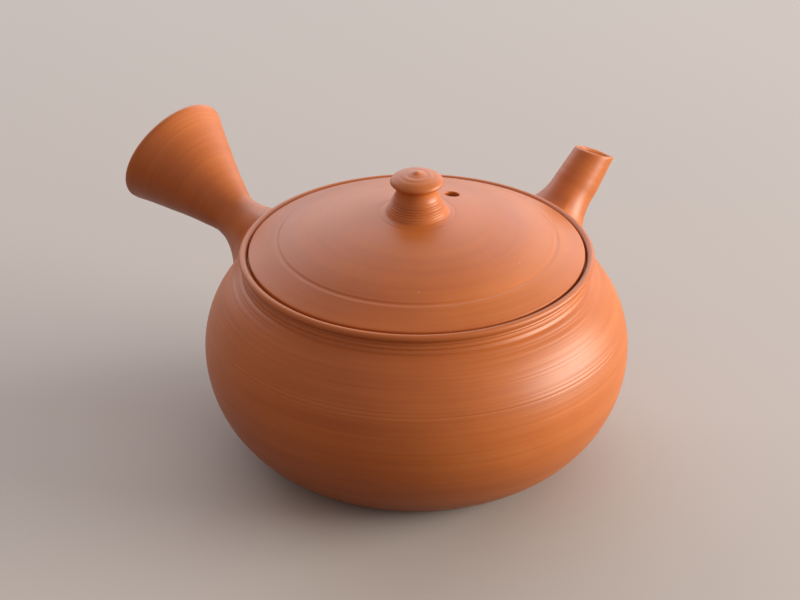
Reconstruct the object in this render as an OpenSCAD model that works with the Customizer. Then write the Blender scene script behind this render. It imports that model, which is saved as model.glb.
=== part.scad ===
// Kyusu: side-handle teapot of unglazed red clay.
// Z is up, the foot stands on Z = 0, the spout points along +X and the handle along +Y.

/* [Pot] */
// Largest outside radius of the belly
belly_r = 55.3; // [48:0.1:64]
// Height of the widest line of the belly
belly_z = 30; // [26:0.5:36]
// Radius of the flat foot
foot_r = 35.3; // [30:0.1:42]
// Wall thickness of the belly
wall = 2.8; // [2:0.1:4]
// Thickness of the floor
floor_t = 3; // [2:0.1:5]

/* [Neck and rim] */
// Height of the rim's top
rim_z = 56.7; // [52:0.1:64]
// Outside radius of the rim bead
rim_r = 46.1; // [42:0.1:50]
// Thickness of the rim bead
rim_t = 1.6; // [1.2:0.1:2.4]
// Depth of the lid recess below the rim's top
recess_depth = 1.9; // [1.5:0.1:3]
// Width of the ledge that carries the lid
ledge_w = 3.5; // [2.5:0.1:5]
// Depth of the hollow under the bead, measured in from the rim
neck_depth = 1.4; // [0.8:0.1:2]
// Radius of the hollow under the bead
neck_hollow_r = 2.4; // [1.8:0.1:3.2]
// How far the hollow under the bead reaches above the ledge
neck_rise = 0.2; // [0:0.1:0.4]

/* [Spout] */
// Rise of the spout's axis
spout_rise = 44; // [32:1:48]
// Distance down the wall from the shoulder's top to the middle of the spout's root
spout_drop = 5.95; // [5:0.05:9]
// Length of the spout along its axis
spout_len = 24; // [16:0.5:32]
// Outside radius at the spout's root
spout_root_r = 7; // [6.5:0.1:8]
// Outside radius at the spout's mouth
spout_mouth_r = 5.5; // [5:0.1:7]
// Wall thickness of the spout
spout_wall = 1.5; // [1.2:0.1:2]
// Rise of the direction that the cut mouth faces
mouth_rise = 65; // [45:1:70]
// Reach of the clay fillet round the spout's root
spout_fillet = 3.5; // [2.5:0.5:4.5]

/* [Strainer] */
// Radius of the strainer dome where it meets the wall
strainer_r = 7.8; // [7:0.1:9]
// Height of the strainer dome above the wall
strainer_h = 4.8; // [4:0.1:6]
// Thickness of the strainer dome
strainer_t = 1.6; // [1.2:0.1:2.2]
// Diameter of a strainer hole
strainer_hole_d = 1.4; // [1:0.1:1.6]
// Distance between strainer holes on the dome
strainer_pitch = 2.4; // [2.2:0.1:2.6]
// Rings of strainer holes round the middle hole
strainer_rings = 3; // [1:1:3]
// Height of the clay coil round the strainer
strainer_coil = 1.3; // [0.9:0.1:1.6]

/* [Handle] */
// Rise of the handle's axis
handle_rise = 22; // [10:0.5:35]
// Height at which the handle's axis meets the belly
handle_z = 35; // [26:0.5:36]
// Length of the handle along its axis
handle_len = 46.5; // [35:0.5:60]
// Outside radius of the handle's neck
handle_neck_r = 6.5; // [6:0.1:8]
// Distance from the belly to the start of the flare
handle_neck_len = 16; // [13:0.5:20]
// Outside radius of the handle's wide end
handle_end_r = 16.6; // [13:0.1:20]
// Wall thickness of the handle
handle_wall = 2.4; // [2:0.1:3]
// Reach of the clay fillet round the handle's root
handle_fillet = 6; // [4:0.5:8]

/* [Lid] */
// Clearance between the lid's edge and the rim
lid_gap = 0.9; // [0.4:0.1:1]
// Clearance under the lid where it sits on the ledge
seat_gap = 0.2; // [0.1:0.1:0.4]
// Height of the lid's edge
lid_edge_t = 1.7; // [1.2:0.1:2.4]
// Rise of the lid from its edge to the turned groove
lid_shoulder_h = 4.6; // [3.5:0.1:6]
// Rise of the lid from the turned groove to its top
lid_dome_h = 7.2; // [5:0.1:10]
// Thickness of the lid
lid_t = 2.6; // [2:0.1:3.4]
// Radius of the inner edge of the turned groove
groove_r = 35.6; // [30:0.1:38]
// Width of the turned groove
groove_w = 1.4; // [0.6:0.1:2]
// Depth of the turned groove
groove_depth = 0.3; // [0.2:0.1:0.6]
// Clearance between the lid's flange and the pot's mouth
flange_gap = 0.5; // [0.3:0.1:0.8]
// Thickness of the flange
flange_t = 2.5; // [2:0.1:3.5]
// Depth of the flange below the ledge
flange_depth = 4.5; // [3:0.1:5]
// Diameter of the steam vent
vent_d = 4; // [2.5:0.1:5]
// Distance of the steam vent from the lid's axis
vent_r = 15.3; // [12.5:0.1:20]
// Turn of the steam vent away from the spout, towards the handle
vent_turn = 9; // [-180:1:180]

/* [Knob] */
// Radius of the knob's foot
knob_foot_r = 8.3; // [7:0.1:10]
// Radius of the knob's neck
knob_neck_r = 5.4; // [4:0.1:6]
// Radius of the knob's cap
knob_cap_r = 6.8; // [6:0.1:9]
// Height of the cap's flat top above the lid
knob_h = 10.8; // [9:0.1:14]
// Thickness of the cap
knob_cap_t = 3.8; // [3:0.1:5]
// Height of the point on the cap
knob_point_h = 1.1; // [0.6:0.1:2]
// Radius of the foot of the point on the cap
knob_point_r = 1.7; // [1:0.1:2.5]
// Radius of the tip of the point on the cap
knob_tip_r = 0.4; // [0.2:0.1:0.8]
// Radius of the turned rings on the knob's foot
knob_ring_r = 0.35; // [0.2:0.05:0.5]
// Turned rings on the knob's foot
knob_rings = 4; // [2:1:4]
// Distance between the turned rings on the knob's foot
knob_ring_pitch = 0.95; // [0.8:0.05:1.1]
// Width of the low clay ring round the knob's foot
knob_coil_w = 1.5; // [1:0.1:2]
// Height of the low clay ring round the knob's foot
knob_coil_h = 0.5; // [0.3:0.1:0.8]

/* [Hidden] */
$fn = 180;
// Finer rounding where thin clay lies on a curved seat, and coarser in small holes and rings
seat_fn = 540;
hole_fn = 24;

red_clay = [0.62, 0.31, 0.21];
pale_clay = [0.66, 0.36, 0.26];
dark_clay = [0.5, 0.22, 0.14];

// Extra length where one shape cuts through another
cut = 10;

// The belly is two arcs that meet upright at its widest line
rim_mid_r = rim_r - rim_t / 2;
recess_r = rim_r - rim_t;
ledge_z = rim_z - recess_depth;
mouth_r = recess_r - ledge_w;
neck_r = rim_r - neck_depth;
neck_z = ledge_z - neck_hollow_r + neck_rise;
shoulder_r = rim_r;
shoulder_z = neck_z - sqrt(pow(neck_hollow_r, 2) - pow(neck_hollow_r - neck_depth, 2));
lower_arc_r = arc_radius(belly_r - foot_r, belly_z);
upper_arc_r = arc_radius(belly_r - shoulder_r, shoulder_z - belly_z);
lower_arc_x = belly_r - lower_arc_r;
upper_arc_x = belly_r - upper_arc_r;

// Where the spout's axis leaves the shoulder, and the rise of the way that the wall faces there
shoulder_seat = asin((shoulder_z - belly_z) / upper_arc_r);
spout_seat = shoulder_seat - spout_drop / upper_arc_r * 180 / PI;
spout_x = upper_arc_x + upper_arc_r * cos(spout_seat);
spout_z = belly_z + upper_arc_r * sin(spout_seat);
spout_bore_r = spout_root_r - spout_wall;

// The strainer is a part of a sphere, centred just outside the inner wall
strainer_ball_r = (pow(strainer_r, 2) + pow(strainer_h, 2)) / (2 * strainer_h);
strainer_out = strainer_ball_r - strainer_h;

// The handle's axis meets the belly at this radius
handle_arc_r = handle_z > belly_z ? upper_arc_r : lower_arc_r;
handle_y = belly_r - handle_arc_r + sqrt(pow(handle_arc_r, 2) - pow(handle_z - belly_z, 2));

// The lid's edge sits in the recess, and its dome is two arcs that meet at the groove
lid_r = recess_r - lid_gap;
lid_seat_z = ledge_z + seat_gap;
lid_edge_z = lid_seat_z + lid_edge_t;
groove_z = lid_edge_z + lid_shoulder_h;
lid_top_z = groove_z + lid_dome_h;
dome_r = (pow(groove_r, 2) + pow(lid_dome_h, 2)) / (2 * lid_dome_h);
dome_z = lid_top_z - dome_r;
dome_slope = asin(groove_r / dome_r);
shoulder_chord = norm([lid_r - groove_r, lid_shoulder_h]);
shoulder_slope = atan2(lid_shoulder_h, lid_r - groove_r);
lid_arc_r = shoulder_chord / (2 * sin(shoulder_slope - dome_slope));
lid_arc_x = groove_r - lid_arc_r * sin(dome_slope);
lid_arc_z = groove_z - lid_arc_r * cos(dome_slope);
flange_r = mouth_r - flange_gap;
flange_z = ledge_z - flange_depth;

// The groove is a round cut as wide and as deep as named, seen on the lid's outer arc
groove_mid_r = groove_r + groove_w / 2;
groove_mid_z = lid_arc_z + sqrt(pow(lid_arc_r, 2) - pow(groove_mid_r - lid_arc_x, 2));
groove_cut_r = (pow(groove_w / 2, 2) + pow(groove_depth, 2)) / (2 * groove_depth);

// A clay fillet as rings: distance along the axis, share of the lean, and extra radius.
// Distance and extra radius are shares of the fillet's reach.
fillet_rings = [[-0.5, 0, 1], [0.4, 0.5, 0.42], [1, 0.85, 0.14], [1.9, 1, 0.03]];
fillet_disc_t = 0.01;
fillet_fn = 48;

// Radius of an arc that starts upright and goes in by one amount over a given rise
function arc_radius(inset, rise) = (inset * inset + rise * rise) / (2 * inset);

module ring_turn() {
    rotate_extrude()
        children();
}

// Places a shape on the spout's axis, with its zero on the outside of the shoulder
module on_spout(rise = spout_rise) {
    translate([spout_x, 0, spout_z])
        rotate([0, 90 - rise, 0])
            children();
}

// Places a shape on the handle's axis, with its zero on the belly
module on_handle(rise = handle_rise) {
    translate([0, handle_y, handle_z])
        rotate([rise - 90, 0, 0])
            children();
}

// A thin disc, of which a clay fillet is a chain
module fillet_ring(r) {
    cylinder(r = r, h = fillet_disc_t, $fn = fillet_fn);
}

// Part of a belly arc between two heights, filled in to the axis
module belly_slice(arc_x, arc_r, low, high) {
    intersection() {
        union() {
            translate([arc_x, belly_z])
                circle(arc_r);
            translate([0, belly_z - arc_r])
                square([arc_x, 2 * arc_r]);
        }
        translate([0, low])
            square([belly_r + cut, high - low]);
    }
}

module pot_outline() {
    belly_slice(lower_arc_x, lower_arc_r, 0, belly_z);
    belly_slice(upper_arc_x, upper_arc_r, belly_z, shoulder_z);
    difference() {
        translate([0, shoulder_z])
            square([rim_r, rim_z - rim_t / 2 - shoulder_z]);
        translate([neck_r + neck_hollow_r, neck_z])
            circle(neck_hollow_r);
    }
    translate([rim_mid_r, rim_z - rim_t / 2])
        circle(rim_t / 2);
}

module chamber_outline() {
    belly_slice(lower_arc_x, lower_arc_r - wall, floor_t, belly_z);
    belly_slice(upper_arc_x, upper_arc_r - wall, belly_z, ledge_z);
    translate([0, belly_z])
        square([mouth_r, rim_z - belly_z]);
}

// The whole outside of the pot as a filled solid, which seats the pieces that join it
module pot_outside() {
    ring_turn()
        pot_outline();
}

module pot_chamber() {
    ring_turn()
        chamber_outline();
}

module pot_body() {
    color(red_clay)
        difference() {
            ring_turn()
                difference() {
                    pot_outline();
                    chamber_outline();
                    translate([0, ledge_z])
                        square([recess_r, rim_z - ledge_z + cut]);
                }
            on_spout()
                translate([0, 0, -wall - cut])
                    cylinder(r = spout_bore_r, h = wall + 2 * cut);
        }
}

// Space beyond the spout's slanted mouth
module beyond_mouth() {
    on_spout()
        translate([0, 0, spout_len])
            rotate([0, spout_rise - mouth_rise, 0])
                cylinder(r = spout_len, h = spout_len);
}

// A tapering rod along the spout, longer than the spout at both ends
module spout_rod(root_r, mouth_r) {
    taper = (root_r - mouth_r) / spout_len;
    on_spout()
        translate([0, 0, -cut])
            cylinder(r1 = root_r + taper * cut, r2 = mouth_r - taper * cut, h = spout_len + 2 * cut);
}

module spout() {
    color(pale_clay)
        difference() {
            spout_rod(spout_root_r, spout_mouth_r);
            spout_rod(spout_root_r - spout_wall, spout_mouth_r - spout_wall);
            beyond_mouth();
            pot_outside();
        }
}

// The clay round the spout's root leans from square on the shoulder to the spout's own rise
module spout_luting() {
    taper = (spout_root_r - spout_mouth_r) / spout_len;
    color(dark_clay)
        difference() {
            for (i = [0 : len(fillet_rings) - 2])
                hull()
                    for (ring = [fillet_rings[i], fillet_rings[i + 1]])
                        on_spout(spout_seat + (spout_rise - spout_seat) * ring[1])
                            translate([0, 0, ring[0] * spout_fillet])
                                fillet_ring(spout_root_r + (ring[2] - taper * ring[0]) * spout_fillet);
            spout_rod(spout_root_r, spout_mouth_r);
            pot_outside();
        }
}

// Places a shape at the strainer's centre, square to the wall and pointing outwards
module on_strainer() {
    on_spout(spout_seat)
        translate([0, 0, strainer_out - wall])
            children();
}

// One hole of the strainer, drilled square through the dome
module strainer_hole(tilt, turn) {
    past = strainer_t / 2;
    rotate([0, 0, turn])
        rotate([0, 180 - tilt, 0])
            translate([0, 0, strainer_ball_r - strainer_t - past])
                cylinder(d = strainer_hole_d, h = strainer_t + 2 * past, $fn = hole_fn);
}

module strainer() {
    hole_step = strainer_pitch / strainer_ball_r * 180 / PI;
    color(pale_clay)
        difference() {
            intersection() {
                on_strainer()
                    sphere(strainer_ball_r);
                pot_chamber();
            }
            on_strainer()
                sphere(strainer_ball_r - strainer_t);
            on_strainer() {
                strainer_hole(0, 0);
                for (ring = [1 : strainer_rings])
                    for (i = [0 : 6 * ring - 1])
                        strainer_hole(ring * hole_step, i * 60 / ring);
            }
        }
}

// The coil is a cone that widens towards the wall, and the chamber cuts it to lie on the wall
module strainer_luting() {
    coil_reach = 2 * strainer_coil;
    color(dark_clay)
        intersection() {
            difference() {
                on_strainer()
                    translate([0, 0, -strainer_out - coil_reach])
                        cylinder(
                            r1 = strainer_r,
                            r2 = strainer_r + coil_reach,
                            h = coil_reach + strainer_coil
                        );
                on_strainer()
                    sphere(strainer_ball_r);
            }
            pot_chamber($fn = seat_fn);
        }
}

// Outline of the trumpet, set in by the wall thickness for its hollow
module handle_outline(inset) {
    flare_z = handle_len - handle_wall / 2;
    polygon([
        [0, -cut],
        [handle_neck_r - inset, -cut],
        [handle_neck_r - inset, handle_neck_len],
        [handle_end_r - inset, flare_z],
        [handle_end_r - inset, flare_z + inset],
        [0, flare_z + inset]
    ]);
}

module handle_rod() {
    on_handle()
        ring_turn()
            handle_outline(0);
}

module handle() {
    color(red_clay)
        difference() {
            on_handle()
                ring_turn() {
                    difference() {
                        handle_outline(0);
                        handle_outline(handle_wall);
                    }
                    translate([handle_end_r - handle_wall / 2, handle_len - handle_wall / 2])
                        circle(handle_wall / 2);
                }
            pot_outside();
        }
}

// The clay round the handle's root leans from square on the belly to the handle's own rise
module handle_luting() {
    color(dark_clay)
        difference() {
            for (i = [0 : len(fillet_rings) - 2])
                hull()
                    for (ring = [fillet_rings[i], fillet_rings[i + 1]])
                        on_handle(handle_rise * ring[1])
                            translate([0, 0, ring[0] * handle_fillet])
                                fillet_ring(handle_neck_r + ring[2] * handle_fillet);
            handle_rod();
            pot_outside();
        }
}

// The lid's dome lowered by one amount, filled down to the seat
module lid_dome(lower) {
    intersection() {
        translate([0, dome_z])
            circle(dome_r - lower);
        translate([0, lid_seat_z])
            square([groove_r, lid_top_z]);
    }
    intersection() {
        translate([lid_arc_x, lid_arc_z])
            circle(lid_arc_r - lower);
        translate([groove_r, lid_seat_z])
            square([lid_r - groove_r, lid_top_z]);
    }
}

module lid() {
    color(red_clay)
        difference() {
            ring_turn()
                difference() {
                    union() {
                        lid_dome(0);
                        translate([flange_r - flange_t, flange_z])
                            square([flange_t, lid_seat_z - flange_z]);
                    }
                    intersection() {
                        lid_dome(lid_t);
                        translate([0, flange_z])
                            square([flange_r - flange_t, lid_top_z]);
                    }
                    translate([groove_mid_r, groove_mid_z + groove_cut_r - groove_depth])
                        circle(groove_cut_r);
                }
            rotate([0, 0, vent_turn])
                translate([vent_r, 0, flange_z])
                    cylinder(d = vent_d, h = lid_top_z);
        }
}

module knob_outline() {
    cap_z = knob_h - knob_cap_t / 2;
    hollow_z = cap_z - knob_cap_t / 2;
    hollow_r = arc_radius(knob_foot_r - knob_neck_r, hollow_z);
    difference() {
        translate([0, -lid_t])
            square([knob_foot_r, cap_z + lid_t]);
        translate([knob_neck_r + hollow_r, hollow_z])
            circle(hollow_r);
    }
    translate([0, cap_z - knob_cap_t / 2])
        square([knob_cap_r - knob_cap_t / 2, knob_cap_t]);
    translate([knob_cap_r - knob_cap_t / 2, cap_z])
        circle(knob_cap_t / 2);
    for (i = [0 : knob_rings - 1])
        let (ring_z = knob_ring_pitch * (i + 1), ring_h = hollow_z - ring_z)
            translate([knob_neck_r + hollow_r - sqrt(hollow_r * hollow_r - ring_h * ring_h), ring_z])
                circle(knob_ring_r, $fn = hole_fn);
}

module lid_outside() {
    ring_turn()
        lid_dome(0);
}

module lid_knob() {
    color(pale_clay)
        difference() {
            translate([0, 0, lid_top_z]) {
                ring_turn()
                    knob_outline();
                translate([0, 0, knob_h])
                    cylinder(r1 = knob_point_r, r2 = knob_tip_r, h = knob_point_h);
            }
            lid_outside();
        }
}

module knob_luting() {
    color(dark_clay)
        difference() {
            translate([0, 0, lid_top_z - lid_t])
                cylinder(r = knob_foot_r + knob_coil_w, h = lid_t + knob_coil_h);
            cylinder(r = knob_foot_r, h = lid_top_z + knob_h);
            lid_outside($fn = seat_fn);
        }
}

pot_body();
spout();
spout_luting();
strainer();
strainer_luting();
handle();
handle_luting();
lid();
lid_knob();
knob_luting();
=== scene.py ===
# %% [markdown]
# # A side-handle teapot of unglazed red clay
# The pot is thrown on a wheel, so nearly every piece is a turned shape: a profile that is spun
# round an axis. The frame already holds the pot's construction. This lesson gives each piece its
# thrown skin, with the throwing lines as real ridges, and one clay finish that follows the wheel.

import bisect
import math
import random

import bmesh
import bpy
from mathutils import Matrix, Vector


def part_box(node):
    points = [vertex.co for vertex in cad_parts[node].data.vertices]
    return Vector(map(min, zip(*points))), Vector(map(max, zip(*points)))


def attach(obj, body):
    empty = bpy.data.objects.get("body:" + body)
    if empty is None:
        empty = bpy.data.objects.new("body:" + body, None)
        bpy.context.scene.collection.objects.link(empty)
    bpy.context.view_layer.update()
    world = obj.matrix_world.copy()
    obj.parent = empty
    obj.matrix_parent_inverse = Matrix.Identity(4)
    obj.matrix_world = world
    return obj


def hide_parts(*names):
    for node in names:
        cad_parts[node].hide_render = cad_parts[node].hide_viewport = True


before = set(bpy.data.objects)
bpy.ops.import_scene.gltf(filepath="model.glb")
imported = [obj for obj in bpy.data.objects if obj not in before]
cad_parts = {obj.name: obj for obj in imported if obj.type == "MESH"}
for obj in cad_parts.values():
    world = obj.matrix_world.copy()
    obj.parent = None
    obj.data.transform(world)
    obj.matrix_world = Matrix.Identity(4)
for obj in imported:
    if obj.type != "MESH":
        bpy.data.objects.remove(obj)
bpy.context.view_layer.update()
print("frame holds", sorted(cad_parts))

# %% [markdown]
# ## Camera and light
# The camera looks down on the pot from the side away from the spout and the handle. A long lens
# gives the flat perspective of a product picture. One large soft lamp stands low at the right, as a
# window would, so that the left side falls into a warm shade. A wide pale card behind the pot is
# what the lid and the knob mirror as a dull sheen. Both are hidden from the camera, so that a view from
# another side doesn't show them.

# %% Camera
IMAGE_WIDTH_PX = 800
SENSOR_MM = 36.0
FOCAL_PX = 3400
camera_turn = math.radians(-134.5)
camera_distance = 0.7798
camera_height = 0.4624
aim = Vector((-0.0031, 0.0030, 0.0423))

camera_data = bpy.data.cameras.new("camera")
camera_data.sensor_width = SENSOR_MM
camera_data.lens = SENSOR_MM * FOCAL_PX / IMAGE_WIDTH_PX
camera = bpy.data.objects.new("camera", camera_data)
camera.location = (
    camera_distance * math.cos(camera_turn),
    camera_distance * math.sin(camera_turn),
    camera_height,
)
camera.rotation_euler = (aim - camera.location).to_track_quat("-Z", "Y").to_euler()
bpy.context.scene.collection.objects.link(camera)
bpy.context.scene.camera = camera
print("lens", round(camera_data.lens), "mm")

# %% Colours
def colour(hex_text):
    """sRGB hex text as linear red, green, blue and alpha."""
    channels = [int(hex_text[i:i + 2], 16) / 255 for i in (1, 3, 5)]
    linear = [c / 12.92 if c <= 0.04045 else ((c + 0.055) / 1.055) ** 2.4 for c in channels]
    return (*linear, 1.0)


# %% Lamps and world
to_right = Vector((-math.sin(camera_turn), math.cos(camera_turn), 0))
to_back = Vector((-math.cos(camera_turn), -math.sin(camera_turn), 0))
up = Vector((0, 0, 1))
pot_middle = Vector((0, 0, 0.035))


def soft_lamp(name, place, width, height, watts, tint):
    """A rectangular soft lamp that faces the middle of the pot."""
    data = bpy.data.lights.new(name, "AREA")
    data.shape = "RECTANGLE"
    data.size = width
    data.size_y = height
    data.energy = watts
    data.color = colour(tint)[:3]
    lamp = bpy.data.objects.new(name, data)
    lamp.location = pot_middle + place
    lamp.rotation_euler = (-place).to_track_quat("-Z", "Y").to_euler()
    lamp.visible_camera = False
    bpy.context.scene.collection.objects.link(lamp)
    print(name, "lamp", watts, "W")


soft_lamp("window", to_right * 1.40 - to_back * 0.06 + up * 0.27, 1.06, 0.56, 33.0, "#fffaf0")
soft_lamp("back_card", to_back * 1.15 + up * 0.62, 2.6, 1.3, 20.0, "#eaf3ff")

world = bpy.data.worlds.new("studio")
bpy.context.scene.world = world
world.use_nodes = True
world.node_tree.nodes["Background"].inputs["Color"].default_value = colour("#fbe2d8")
world.node_tree.nodes["Background"].inputs["Strength"].default_value = 0.54
bpy.context.scene.view_settings.view_transform = "Standard"

# %% [markdown]
# ## The clay
# The pot is fired, unglazed red stoneware, rubbed smooth while it was leather-hard. It shows a warm
# orange red, a satin sheen, thin rings from the wheel and a few grains of sand. The rings turn round
# each piece's own axis, so one finish takes that axis as a place and a turn. Image textures could
# hold the rings, but noise that is stretched along the rings needs no picture and has no seam.

# %% Add-node helper
def add_node(tree, kind, settings=None, links=None):
    """One shader node, with its settings and what feeds each of its sockets."""
    node = tree.nodes.new(kind)
    for name, value in (settings or {}).items():
        if isinstance(name, str) and name.islower():
            setattr(node, name, value)
        else:
            node.inputs[name].default_value = value
    for name, source in (links or {}).items():
        tree.links.new(source, node.inputs[name])
    return node


def ramp_stops(node, stops):
    """Sets a colour ramp to a list of positions and colours."""
    elements = node.color_ramp.elements
    while len(elements) < len(stops):
        elements.new(0.5)
    for element, (position, value) in zip(elements, stops):
        element.position = position
        element.color = value


# %% Unglazed red stoneware
MM = 0.001
LINE_PITCH_MM = 0.6
BAND_PITCH_MM = 5.0
MOTTLE_MM = 14.0
GRAIN_MM = 0.35
SPECK_SPACING_MM = 3.2


def red_stoneware(name, centre=(0, 0, 0), lean=(0, 0, 0)):
    """Rubbed red stoneware: satin, ringed round the wheel's axis, with rare pale grains."""
    material = bpy.data.materials.new(name)
    material.use_nodes = True
    tree = material.node_tree
    shader = tree.nodes["Principled BSDF"]
    coordinates = add_node(tree, "ShaderNodeTexCoord").outputs["Object"]
    on_wheel = add_node(
        tree,
        "ShaderNodeMapping",
        {"vector_type": "TEXTURE", "Location": centre, "Rotation": lean},
        {"Vector": coordinates},
    ).outputs["Vector"]

    def ringed_noise(pitch_mm, along_mm, detail):
        """Noise that changes quickly along the axis and slowly round it."""
        across = 1 / (pitch_mm * MM)
        along = 1 / (along_mm * MM)
        stretched = add_node(
            tree, "ShaderNodeMapping", {"Scale": (along, along, across)}, {"Vector": on_wheel}
        )
        return add_node(
            tree,
            "ShaderNodeTexNoise",
            {"Scale": 1.0, "Detail": detail, "Roughness": 0.55},
            {"Vector": stretched.outputs["Vector"]},
        ).outputs["Fac"]

    lines = ringed_noise(LINE_PITCH_MM, 60, 3.0)
    bands = ringed_noise(BAND_PITCH_MM, 90, 2.0)
    mottle = add_node(
        tree,
        "ShaderNodeTexNoise",
        {"Scale": 1 / (MOTTLE_MM * MM), "Detail": 3.0},
        {"Vector": on_wheel},
    ).outputs["Fac"]
    grain = add_node(
        tree,
        "ShaderNodeTexNoise",
        {"Scale": 1 / (GRAIN_MM * MM), "Detail": 2.0},
        {"Vector": on_wheel},
    ).outputs["Fac"]
    speck_cells = add_node(
        tree,
        "ShaderNodeTexVoronoi",
        {"Scale": 1 / (SPECK_SPACING_MM * MM), "Randomness": 1.0},
        {"Vector": on_wheel},
    )

    # Bands, mottling and lines each move the clay a little between its dark and its pale tone
    banded = add_node(
        tree, "ShaderNodeMath", {"operation": "MULTIPLY_ADD", 1: 0.35}, {0: mottle, 2: bands}
    ).outputs[0]
    toned = add_node(
        tree, "ShaderNodeMath", {"operation": "MULTIPLY_ADD", 1: 0.55}, {0: lines, 2: banded}
    ).outputs[0]
    tone = add_node(tree, "ShaderNodeValToRGB", links={"Fac": add_node(
        tree, "ShaderNodeMapRange", {"From Min": 0.56, "From Max": 1.34}, {"Value": toned}
    ).outputs["Result"]})
    ramp_stops(tone, [(0.0, colour("#a85826")), (0.5, colour("#b8652b")), (1.0, colour("#c57236"))])
    speck = add_node(
        tree,
        "ShaderNodeMapRange",
        {"From Min": 0.05, "From Max": 0.085, "To Min": 1.0, "To Max": 0.0},
        {"Value": speck_cells.outputs["Distance"]},
    ).outputs["Result"]
    rare = add_node(
        tree,
        "ShaderNodeMath",
        {"operation": "GREATER_THAN", 1: 0.9},
        {0: add_node(
            tree, "ShaderNodeSeparateColor", links={"Color": speck_cells.outputs["Color"]}
        ).outputs["Red"]},
    ).outputs[0]
    speck_share = add_node(
        tree, "ShaderNodeMath", {"operation": "MULTIPLY"}, {0: speck, 1: rare}
    ).outputs[0]
    clay_colour = add_node(
        tree,
        "ShaderNodeMix",
        {"data_type": "RGBA"},
        {0: speck_share, 6: tone.outputs["Color"]},
    )
    clay_colour.inputs[7].default_value = colour("#cc8a60")
    tree.links.new(clay_colour.outputs[2], shader.inputs["Base Color"])

    sheen_lines = add_node(
        tree, "ShaderNodeMapRange", {"To Min": 0.36, "To Max": 0.52}, {"Value": lines}
    ).outputs["Result"]
    tree.links.new(sheen_lines, shader.inputs["Roughness"])
    shader.inputs["IOR"].default_value = 1.5

    line_bump = add_node(
        tree, "ShaderNodeBump", {"Strength": 0.35, "Distance": 0.06 * MM}, {"Height": lines}
    ).outputs["Normal"]
    skin = add_node(
        tree,
        "ShaderNodeBump",
        {"Strength": 0.18, "Distance": 0.03 * MM},
        {"Height": grain, "Normal": line_bump},
    ).outputs["Normal"]
    tree.links.new(skin, shader.inputs["Normal"])
    return material


wheel_clay = red_stoneware("red_stoneware_wheel")
print("clay finish made")

# %% [markdown]
# ## From a profile to a turned piece
# A wheel-thrown shape is drawn as half its outline and spun. The outlines are in millimetres, with
# arcs where the clay is round, and smooth curves through a few points where it isn't.

# %% Outline helpers
def arc(centre_r, centre_z, radius, start_deg, end_deg, step_mm):
    """Points along an arc, about step_mm apart, from one angle to another."""
    length = abs(math.radians(end_deg - start_deg)) * radius
    count = max(2, round(length / step_mm))
    angles = [math.radians(start_deg + (end_deg - start_deg) * i / count) for i in range(count + 1)]
    return [(centre_r + radius * math.cos(a), centre_z + radius * math.sin(a)) for a in angles]


def curve_through(points, steps):
    """A smooth curve through points, with the given number of steps between each two."""
    ends = [points[0], *points, points[-1]]
    found = []
    for before, start, end, after in zip(ends, ends[1:], ends[2:], ends[3:]):
        for i in range(steps):
            t = i / steps
            found.append(tuple(
                0.5 * (2 * b + (c - a) * t + (2 * a - 5 * b + 4 * c - d) * t * t
                       + (3 * b - a - 3 * c + d) * t ** 3)
                for a, b, c, d in zip(before, start, end, after)
            ))
    return [*found, points[-1]]


def tool_marks(z, marks):
    """How far turned lines stand out at z. A line is a place, an amount and half a width."""
    return sum(amount * math.exp(-(((z - at) / half) ** 2)) for at, amount, half in marks)


def with_marks(outline, marks):
    """An outline with turned lines across it."""
    return [(r + tool_marks(z, marks), z) for r, z in outline]


# %% Spin and finish helpers
def turned(outline, steps):
    """A bmesh of an outline that is spun round the Z axis."""
    bm = bmesh.new()
    verts = [bm.verts.new((r, 0, z)) for r, z in outline]
    edges = [bm.edges.new(pair) for pair in zip(verts, verts[1:])]
    bmesh.ops.spin(
        bm,
        geom=verts + edges,
        cent=(0, 0, 0),
        axis=(0, 0, 1),
        angle=2 * math.pi,
        steps=steps,
        use_merge=True,
    )
    bmesh.ops.remove_doubles(bm, verts=bm.verts, dist=0.0005)
    return bm


def clay_piece(bm, name, body, nodes, material, sharp_deg=40):
    """Makes a bmesh in millimetres into a clay piece that stands for CAD nodes."""
    bmesh.ops.recalc_face_normals(bm, faces=bm.faces)
    bmesh.ops.scale(bm, vec=(MM, MM, MM), verts=bm.verts)
    mesh = bpy.data.meshes.new(name)
    bm.to_mesh(mesh)
    bm.free()
    mesh.shade_smooth()
    mesh.set_sharp_from_angle(angle=math.radians(sharp_deg))
    mesh.materials.append(material)
    piece = bpy.data.objects.new(name, mesh)
    bpy.context.scene.collection.objects.link(piece)
    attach(piece, body)
    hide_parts(*nodes)
    print(name, len(mesh.polygons), "faces")
    return piece


# %% Drill
def drill(piece, outline, place, steps):
    """Cuts a turned shape out of a finished piece, with the outline in millimetres."""
    bit = turned(outline, steps)
    bmesh.ops.recalc_face_normals(bit, faces=bit.faces)
    bmesh.ops.transform(bit, matrix=place, verts=bit.verts)
    bmesh.ops.scale(bit, vec=(MM, MM, MM), verts=bit.verts)
    bit_mesh = bpy.data.meshes.new("bit")
    bit.to_mesh(bit_mesh)
    bit.free()
    bit_object = bpy.data.objects.new("bit", bit_mesh)
    bpy.context.scene.collection.objects.link(bit_object)
    cut = piece.modifiers.new("cut", "BOOLEAN")
    cut.operation = "DIFFERENCE"
    cut.solver = "EXACT"
    cut.object = bit_object
    bpy.context.view_layer.update()
    drilled = bpy.data.meshes.new_from_object(
        piece.evaluated_get(bpy.context.evaluated_depsgraph_get())
    )
    piece.modifiers.clear()
    piece.data = drilled
    bpy.data.objects.remove(bit_object)
    print(piece.name, "drilled,", len(drilled.polygons), "faces")


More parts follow.
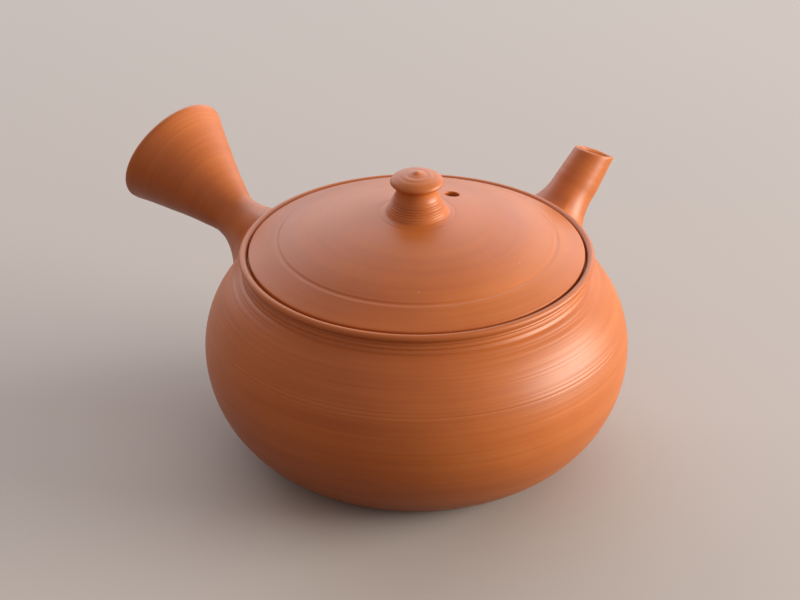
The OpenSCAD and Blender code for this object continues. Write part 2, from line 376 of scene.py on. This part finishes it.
# %% [markdown]
# ## The pot
# The pot is one thrown bowl: a flat foot, a belly of two arcs, a hollow neck under a thin round bead
# and, inside the bead, the ledge that carries the lid. The throwing lines could be a bump, but they
# show against the light at the neck, so they are ridges and grooves in the outline itself.

# %% Pot sizes
pot_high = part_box("pot_body")[1]
belly_r = pot_high.x / MM
rim_z = pot_high.z / MM
belly_z = 30.0
foot_r = 35.3
wall = 2.8
floor_t = 3.0
rim_r = 46.0
rim_t = 2.0
recess_depth = 1.9
ledge_w = 3.1
shoulder_z = 50.4
neck_r = 44.8


def arc_radius(inset, rise):
    """Radius of an arc that starts upright and goes in by inset over rise."""
    return (inset * inset + rise * rise) / (2 * inset)


recess_r = rim_r - rim_t
ledge_z = rim_z - recess_depth
mouth_r = recess_r - ledge_w
lower_r = arc_radius(belly_r - foot_r, belly_z)
upper_r = arc_radius(belly_r - rim_r, shoulder_z - belly_z)
lower_x = belly_r - lower_r
upper_x = belly_r - upper_r
print("belly", round(2 * belly_r, 1), "mm across")

# %% Pot outside
LINE_STEP_MM = 0.16
FOOT_POINTS = 3  # left out, where the foot has its own round edge
lower_start = -math.degrees(math.asin(belly_z / lower_r))
upper_end = math.degrees(math.asin((shoulder_z - belly_z) / upper_r))
belly = arc(lower_x, belly_z, lower_r, lower_start, 0, 2 * LINE_STEP_MM)[FOOT_POINTS:]
belly += arc(upper_x, belly_z, upper_r, 0, upper_end, LINE_STEP_MM)[1:]
neck = curve_through(
    [belly[-1], (rim_r - 0.7, rim_z - 5.35), (neck_r + 0.1, rim_z - 4.1), (neck_r - 0.15, rim_z - 3.1),
     (neck_r - 0.15, rim_z - 2.5), (neck_r + 0.1, rim_z - 2.05)], 10
)[1:]
smooth_outside = belly + neck
outside_z = [z for r, z in smooth_outside]
print(len(smooth_outside), "points up the outside")


def pot_radius(z):
    """Outside radius of the smooth pot at a height, or zero above and below it."""
    i = bisect.bisect(outside_z, z)
    if not 0 < i < len(outside_z):
        return 0
    (low_r, low_z), (high_r, high_z) = smooth_outside[i - 1:i + 1]
    return low_r + (high_r - low_r) * (z - low_z) / (high_z - low_z)


# %% Throwing lines
# Height in millimetres, how far the clay stands out, and half the line's width
marked_lines = [
    (54.3, 0.12, 0.15), (53.7, 0.12, 0.16), (53.2, -0.06, 0.16), (52.7, 0.18, 0.20),
    (52.1, -0.09, 0.18), (51.0, -0.22, 0.20), (50.4, 0.09, 0.24), (49.4, -0.05, 0.20),
    (48.7, 0.04, 0.25), (47.6, 0.03, 0.6), (45.6, -0.03, 0.22), (44.2, -0.05, 0.18),
    (43.4, -0.03, 0.22), (42.3, 0.02, 0.4), (41.4, -0.04, 0.18), (40.4, 0.02, 0.3),
    (39.0, -0.03, 0.20), (38.0, -0.05, 0.18), (37.3, 0.02, 0.4), (36.0, -0.03, 0.20),
    (34.4, -0.02, 0.3), (28.0, -0.03, 0.3),
]
wheel = random.Random(5)
faint_lines = [
    (wheel.uniform(4, 54), wheel.uniform(-0.02, 0.012), wheel.uniform(0.2, 0.5)) for _ in range(60)
]
faint_lines += [
    (wheel.uniform(33, 51), wheel.uniform(-0.018, 0.01), wheel.uniform(0.14, 0.22)) for _ in range(90)
]
pot_lines = marked_lines + faint_lines
print(len(pot_lines), "throwing lines")

# %% Thrown pot
SMOOTH_STEP_MM = 1.5
POT_STEPS = 192
foot_round = 1.2
bead_r = rim_t / 2
bead_z = rim_z - bead_r
bead = arc(rim_r - bead_r, bead_z, bead_r, -75, 180, 0.15)
seat = [(recess_r, ledge_z + 0.3), (recess_r - 0.3, ledge_z), (mouth_r + 0.5, ledge_z),
        (mouth_r, ledge_z - 0.5)]
inner_upper_r = upper_r - wall
inner_lower_r = lower_r - wall
inner_top = math.degrees(math.acos((mouth_r - upper_x) / inner_upper_r))
inner_bottom = -math.degrees(math.asin((belly_z - floor_t - 2) / inner_lower_r))
inside = arc(upper_x, belly_z, inner_upper_r, inner_top, 0, SMOOTH_STEP_MM)
inside += arc(lower_x, belly_z, inner_lower_r, 0, inner_bottom, SMOOTH_STEP_MM)[1:]
floor_inside = curve_through([inside[-1], (34, floor_t + 0.2), (20, floor_t), (0, floor_t)], 6)[1:]
foot_recess = 0.5
underside = [(0, foot_recess), (29, foot_recess), (30.5, 0.1), (31, 0), (foot_r - foot_round, 0),
             (foot_r - 0.2, 0.35)]
outside = with_marks(smooth_outside, pot_lines)
pot = turned(underside + outside + bead + seat + inside + floor_inside, POT_STEPS)
pot_piece = clay_piece(pot, "thrown_pot", "pot", ["pot_body"], wheel_clay)

# %% [markdown]
# ## The handle and the spout
# Both are thrown tubes that the potter sets on the pot and works onto the wall with soft clay, so
# each ends in a hollow flare. A tube is spun along its own axis. Its open end is then extruded ring
# by ring along a curve that leaves the tube in line with it and runs out along the pot, so the flare
# fits the round belly all the way round. A boolean join would leave a hard corner there instead.

# %% Flow a tube onto the pot
SINK_MM = 0.15
FLOW_RINGS = 20
LANDING_SHARE = 0.55
CLAY_TOP_Z = rim_z - 2.6
HALVINGS = 24
REACH_HALVINGS = 12


def meet_pot(place, radius, turn, low, high):
    """How far along the tube's axis a line beside it meets the pot."""
    for _ in range(HALVINGS):
        middle = (low + high) / 2
        point = place @ Vector((radius * math.cos(turn), radius * math.sin(turn), middle))
        if math.hypot(point.x, point.y) < pot_radius(point.z):
            low = middle
        else:
            high = middle
    return (low + high) / 2


def flare_curve(place, radius, turn, flare, low, high):
    """Start, bend, landing and foot of the flare on one side. The foot stays under the bead."""
    reach, bend, run = flare
    beside = Vector((math.cos(turn), math.sin(turn), 0))
    along = Vector((0, 0, 1))
    corner = beside * radius + along * meet_pot(place, radius, turn, low, high)
    least, most = 0.3, reach
    for _ in range(REACH_HALVINGS):
        foot = beside * (radius + reach) + along * meet_pot(place, radius + reach, turn, low, high)
        if (place @ foot).z > CLAY_TOP_Z:
            most = reach
        elif reach == most:
            break
        else:
            least = reach
        reach = (least + most) / 2
    landing_r = radius + reach * LANDING_SHARE
    landing = beside * landing_r + along * meet_pot(place, landing_r, turn, low, high)
    return corner + along * (bend + run), corner + along * bend, landing, foot - along * SINK_MM


def flow_onto_pot(bm, edges, place, radius, flare, low, high):
    """Extrudes an open ring of a placed tube down onto the pot, and returns the last ring's edges."""
    back = place.inverted()
    curves = {}
    for ring in range(FLOW_RINGS + 1):
        share = ring / FLOW_RINGS
        grown = bmesh.ops.extrude_edge_only(bm, edges=edges)["geom"]
        edges = [g for g in grown if isinstance(g, bmesh.types.BMEdge) and g.is_boundary]
        for vert in {v for e in edges for v in e.verts}:
            local = back @ vert.co
            turn = round(math.atan2(local.y, local.x), 3)
            if turn not in curves:
                curves[turn] = flare_curve(place, radius, turn, flare, low, high)
            start, bend, landing, end = curves[turn]
            ahead = 1 - share
            point = start * ahead ** 3 + bend * 3 * share * ahead ** 2
            point += landing * 3 * share ** 2 * ahead + end * share ** 3
            vert.co = place @ point
    return edges


# %% Handle
# The flare's reach over the pot, the height of its bend over the wall, and its run above the bend
handle_rise = math.radians(22)
handle_z = 35.0
handle_len = 45.9
handle_end_r = 16.4
handle_wall = 2.4
handle_neck_r = 6.25
handle_neck_end = 17.5
handle_flare = (16.0, 10.0, 7.0)
handle_place = Matrix.Translation((0, pot_radius(handle_z), handle_z)) @ Matrix.Rotation(
    handle_rise - math.pi / 2, 4, "X"
)
handle_wheel = random.Random(11)
handle_lines = [
    (handle_wheel.uniform(18, 45), handle_wheel.uniform(-0.02, 0.012), handle_wheel.uniform(0.25, 0.6))
    for _ in range(40)
]

lip_r = handle_wall / 2
lip_z = handle_len - lip_r
bore = [(0, 4.0), (3.0, 4.3), (3.9, 5.5)]
bore += curve_through(
    [(3.9, 5.5), (3.9, 15), (4.7, 20.5), (7.2, 28), (10.5, 36.5),
     (handle_end_r - handle_wall - 0.2, lip_z - 0.8)], 8
)[1:]
lip = arc(handle_end_r - lip_r, lip_z, lip_r, 170, 5, 0.2)
trumpet = curve_through(
    [(handle_end_r - 0.3, lip_z - 0.9), (14.4, 40), (12.0, 34), (9.6, 28), (7.55, 22), (6.5, 18.8),
     (handle_neck_r, handle_neck_end)], 24
)
handle = turned(bore + lip + with_marks(trumpet, handle_lines), 96)
bmesh.ops.transform(handle, matrix=handle_place, verts=handle.verts)
handle_open = [e for e in handle.edges if e.is_boundary]
handle_foot = flow_onto_pot(
    handle, handle_open, handle_place, handle_neck_r, handle_flare, -16, 14
)
bmesh.ops.contextual_create(handle, geom=handle_foot)
handle_clay = red_stoneware(
    "red_stoneware_handle", handle_place.translation * MM, handle_place.to_euler()
)
clay_piece(handle, "trumpet_handle", "pot", ["handle", "handle_luting"], handle_clay)

# %% [markdown]
# ## The spout
# The spout is a short tube whose mouth is cut on a slant, with the lower lip drawn out to a small
# beak that stops drips. Cutting the spun tube with a plane would lose its rounded lip, so the whole
# mouth is spun round and square. Its rings are then slid along the axis until they slant, and drawn in
# a little towards the beak.

# %% Spout
spout_seat = math.radians(36)
spout_rise = math.radians(44)
spout_len = 24.0
spout_root_r = 6.8
spout_mouth_r = 5.3
spout_wall = 1.0
mouth_rise = math.radians(66)
slant_from = 10.0
spout_neck_end = 13.9
spout_flare = (8.7, 5.5, 7.5)
beak_mm = 1.2
beak_from = 17.0
beak_pinch = 0.12
bore_low = -3.0
spout_place = Matrix.Translation((
    upper_x + upper_r * math.cos(spout_seat), 0, belly_z + upper_r * math.sin(spout_seat)
)) @ Matrix.Rotation(math.pi / 2 - spout_rise, 4, "Y")
spout_taper = (spout_root_r - spout_mouth_r) / spout_len
spout_wheel = random.Random(3)
spout_lines = [
    (spout_wheel.uniform(13, 23), spout_wheel.uniform(-0.025, 0.015), spout_wheel.uniform(0.2, 0.5))
    for _ in range(14)
]


def spout_radius(s):
    """Outside radius of the spout at a distance along its axis."""
    return spout_root_r - spout_taper * s


spout_lip_r = spout_wall / 2
spout_lip_z = spout_len - spout_lip_r
spout_outline = [
    (spout_radius(s) - spout_wall, s) for s in (bore_low + i * 1.5 for i in range(18))
    if s < spout_lip_z
]
spout_outline += arc(
    spout_radius(spout_lip_z) - spout_lip_r, spout_lip_z, spout_lip_r, 180, 0, 0.2
)
tube_steps = 20
spout_outline += with_marks([
    (spout_radius(s), s)
    for s in (
        spout_lip_z + (spout_neck_end - spout_lip_z) * (i + 1) / tube_steps for i in range(tube_steps)
    )
], spout_lines)
spout = turned(spout_outline, 96)
spout_open = [e for e in spout.edges if e.is_boundary and e.verts[0].co.z > 0]
bore_foot = [e for e in spout.edges if e.is_boundary and e.verts[0].co.z < 0]
for vert in spout.verts:
    slant_share = max((vert.co.z - slant_from) / (spout_len - slant_from), 0)
    beak_share = max((vert.co.z - beak_from) / (spout_len - beak_from), 0)
    front = max(vert.co.x, 0) / math.hypot(vert.co.x, vert.co.y)
    vert.co.z += vert.co.x * math.tan(mouth_rise - spout_rise) * min(slant_share, 1)
    vert.co.x += beak_mm * front ** 4 * beak_share ** 2
    vert.co.y *= 1 - beak_pinch * front * beak_share
bmesh.ops.transform(spout, matrix=spout_place, verts=spout.verts)
spout_foot = flow_onto_pot(
    spout, spout_open, spout_place, spout_radius(spout_neck_end), spout_flare, -12, 9
)
bmesh.ops.bridge_loops(spout, edges=spout_foot + bore_foot)
spout_clay = red_stoneware("red_stoneware_spout", spout_place.translation * MM, spout_place.to_euler())
clay_piece(spout, "thrown_spout", "pot", ["spout", "spout_luting"], spout_clay)
bore_r = spout_root_r - spout_wall
bore_from = -14.0
bore_to = 6.0
wall_bit = [(0, bore_from), (bore_r, bore_from), (bore_r, bore_to), (0, bore_to)]
drill(pot_piece, wall_bit, spout_place, 96)

# %% [markdown]
# ## The lid and its knob
# The lid is a thrown dome of two arcs. A pointed tool has cut one ring where they meet: a small step
# at the inside and a soft slope at the outside. The knob is turned from its own lump of clay, with a
# low domed cap, a small point and a ringed foot.

# %% Lid sizes
lid_gap = 0.5
seat_gap = 0.2
lid_edge_t = 1.7
lid_shoulder_h = 3.95
lid_dome_h = 7.85
lid_t = 2.6
groove_r = 35.6
groove_w = 1.5
groove_depth = 0.16
flange_gap = 0.5
flange_t = 2.5
flange_depth = 4.5
lid_r = recess_r - lid_gap
lid_seat_z = ledge_z + seat_gap
lid_edge_z = lid_seat_z + lid_edge_t
groove_z = lid_edge_z + lid_shoulder_h
lid_top_z = groove_z + lid_dome_h
dome_r = (groove_r ** 2 + lid_dome_h ** 2) / (2 * lid_dome_h)
dome_z = lid_top_z - dome_r
dome_slope = math.asin(groove_r / dome_r)
shoulder_slope = math.atan2(lid_shoulder_h, lid_r - groove_r)
lid_arc_r = math.hypot(lid_r - groove_r, lid_shoulder_h) / (2 * math.sin(shoulder_slope - dome_slope))
lid_arc_x = groove_r - lid_arc_r * math.sin(dome_slope)
lid_arc_z = groove_z - lid_arc_r * math.cos(dome_slope)
flange_r = mouth_r - flange_gap
flange_z = ledge_z - flange_depth
print("lid", round(2 * lid_r, 1), "mm across")


def lid_height(r):
    """Height of the lid's smooth top at a radius."""
    if r < groove_r:
        return dome_z + math.sqrt(dome_r ** 2 - r ** 2)
    return lid_arc_z + math.sqrt(lid_arc_r ** 2 - (r - lid_arc_x) ** 2)


def ring_cut(r):
    """Depth of the tool's ring: a quick step at the inside, then a long soft slope."""
    step_share = 0.3
    across = (r - groove_r) / groove_w
    if not 0 < across < 1:
        return 0
    if across < step_share:
        return groove_depth * math.sin(math.pi / 2 * across / step_share)
    return groove_depth * (1 + math.cos(math.pi * (across - step_share) / (1 - step_share))) / 2


# %% Lid
knob_ring_r = 9.8
edge_round = 0.3
# Radii of the rings on top, which lie closer at the knob's ring and at the groove
radii = [i * 1.2 for i in range(8)] + [9.6 + i * 0.1 for i in range(6)]
radii += [10.8 + i * 1.2 for i in range(21)] + [35.2 + i * 0.1 for i in range(22)]
radii += [37.8 + i * 0.9 for i in range(6)] + [lid_r - edge_round * 1.5]
lid_top = [
    (r, lid_height(r) - ring_cut(r) + tool_marks(r, [(knob_ring_r, -0.05, 0.2)])) for r in radii
]
edge = arc(lid_r - edge_round, lid_height(lid_r) - edge_round * 0.6, edge_round, 45, 0, 0.08)
edge += [(lid_r, lid_seat_z + 0.3), (lid_r - 0.3, lid_seat_z)]
flange = [(flange_r + 0.4, lid_seat_z), (flange_r, lid_seat_z - 0.4), (flange_r, flange_z + 0.8)]
flange += arc(flange_r - flange_t / 2, flange_z + flange_t / 2, flange_t / 2, 0, -180, 0.4)[1:]
under_r = flange_r - flange_t
under_dome = [(under_r, lid_height(under_r) - lid_t - 1.5)]
under_dome += [(r, lid_height(r) - lid_t) for r in (under_r - 1.5, 30, 24, 18, 12, 6, 0)]
lid = turned(lid_top + edge + flange + under_dome, POT_STEPS)
lid_piece = clay_piece(lid, "domed_lid", "lid", ["lid"], wheel_clay)

# %% Steam vent
vent_d = 4.0
vent_r = 15.3
vent_turn = math.radians(9)
vent_round = 0.35
vent_below = 8.0
vent_above = 2.0
vent_place = (
    Matrix.Rotation(vent_turn, 4, "Z")
    @ Matrix.Translation((vent_r, 0, lid_height(vent_r)))
    @ Matrix.Rotation(math.asin(vent_r / dome_r), 4, "Y")
)
vent_bit = [(0, -vent_below), (vent_d / 2, -vent_below)]
vent_bit += arc(vent_d / 2 + vent_round, -vent_round, vent_round, 180, 95, 0.08)
vent_bit += [(vent_d / 2 + vent_round, vent_above), (0, vent_above)]
drill(lid_piece, vent_bit, vent_place, 48)

# %% Knob
knob_foot_r = 8.2
knob_sink = 1.5
cap_top_from = 9.4
knob_wheel = random.Random(8)
foot_ridges = [
    (0.15 + 0.62 * i, knob_wheel.uniform(0.14, 0.24), knob_wheel.uniform(0.14, 0.20)) for i in range(7)
]
knob_neck = curve_through(
    [(knob_foot_r, -0.35), (7.24, 1.3), (6.34, 3.0), (5.6, 4.7), (5.4, 5.6)], 16
)
knob_cap = curve_through(
    [(5.4, 5.6), (5.4, 6.5), (5.65, 7.15), (6.4, 7.55), (6.85, 8.05), (6.78, 8.6), (6.35, 9.1),
     (5.5, 9.62), (4.4, 10.0), (3.4, 10.24), (2.5, 10.38), (1.5, 10.62), (0.7, 10.98), (0, 11.15)], 8
)[1:]
cap_rings = [(4.4, -0.045, 0.25), (3.6, 0.03, 0.3), (2.6, -0.05, 0.25)]
knob_cap = [(r, z + tool_marks(r, cap_rings) * (z > cap_top_from)) for r, z in knob_cap]
knob_root = [(0, -knob_sink), (knob_foot_r, -knob_sink)]
knob = turned(knob_root + with_marks(knob_neck, foot_ridges) + knob_cap, 128)
bmesh.ops.translate(knob, vec=(0, 0, lid_top_z), verts=knob.verts)
clay_piece(knob, "turned_knob", "lid", ["lid_knob"], wheel_clay)

# %% Clay ring round the knob
# Radius, and height over the lid: the ring runs up the knob's foot and out to a fine edge
ring_inner_r = 7.55
ring_depth = 0.5
ring_top = curve_through(
    [(ring_inner_r, 0.85), (7.95, 0.42), (8.45, 0.13), (9.1, 0.05), (9.6, 0.015), (knob_ring_r, -0.06)], 5
)
ring_top = [(r, lid_height(r) + over) for r, over in ring_top]
ring_under = [(r, lid_height(r) - ring_depth) for r in (knob_ring_r, ring_inner_r)] + [ring_top[0]]
ring = turned(ring_top + ring_under, 128)
clay_piece(ring, "knob_ring", "lid", ["knob_luting"], wheel_clay)

# %% [markdown]
# ## Inside the pot
# The strainer is a pierced dome of the same clay. Its frame shape is already right, holes and all,
# so it keeps its mesh and takes the clay finish.

# %% Strainer finish
for node in ("strainer", "strainer_luting"):
    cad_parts[node].data.materials.clear()
    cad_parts[node].data.materials.append(spout_clay)
print("strainer finished")

# %% [markdown]
# ## Floor
# A plain pale floor catches the pot's soft shadow. The pot's underside would pick up its white, which
# hides the deep red of the clay there, so only what the camera sees or the satin mirrors is pale, and
# the light that it throws back at the clay is a warm brown.

# %% Floor
FLOOR_SIDE = 6.0
floor_bm = bmesh.new()
bmesh.ops.create_grid(floor_bm, x_segments=1, y_segments=1, size=FLOOR_SIDE / 2)
floor_mesh = bpy.data.meshes.new("floor")
floor_bm.to_mesh(floor_mesh)
floor_bm.free()
floor_material = bpy.data.materials.new("pale_floor")
floor_material.use_nodes = True
floor_tree = floor_material.node_tree
floor_shader = floor_tree.nodes["Principled BSDF"]
floor_shader.inputs["Roughness"].default_value = 0.9
floor_rays = add_node(floor_tree, "ShaderNodeLightPath").outputs
seen = add_node(
    floor_tree,
    "ShaderNodeMath",
    {"operation": "MAXIMUM"},
    {0: floor_rays["Is Camera Ray"], 1: floor_rays["Is Glossy Ray"]},
).outputs[0]
seen = add_node(
    floor_tree, "ShaderNodeMath", {"operation": "MAXIMUM"}, {0: seen, 1: floor_rays["Is Transmission Ray"]}
).outputs[0]
floor_colour = add_node(floor_tree, "ShaderNodeMix", {"data_type": "RGBA"}, {0: seen})
floor_colour.inputs[6].default_value = colour("#4a220f")
floor_colour.inputs[7].default_value = colour("#b9b5b0")
floor_tree.links.new(floor_colour.outputs[2], floor_shader.inputs["Base Color"])
floor_mesh.materials.append(floor_material)
floor = bpy.data.objects.new("floor", floor_mesh)
bpy.context.scene.collection.objects.link(floor)
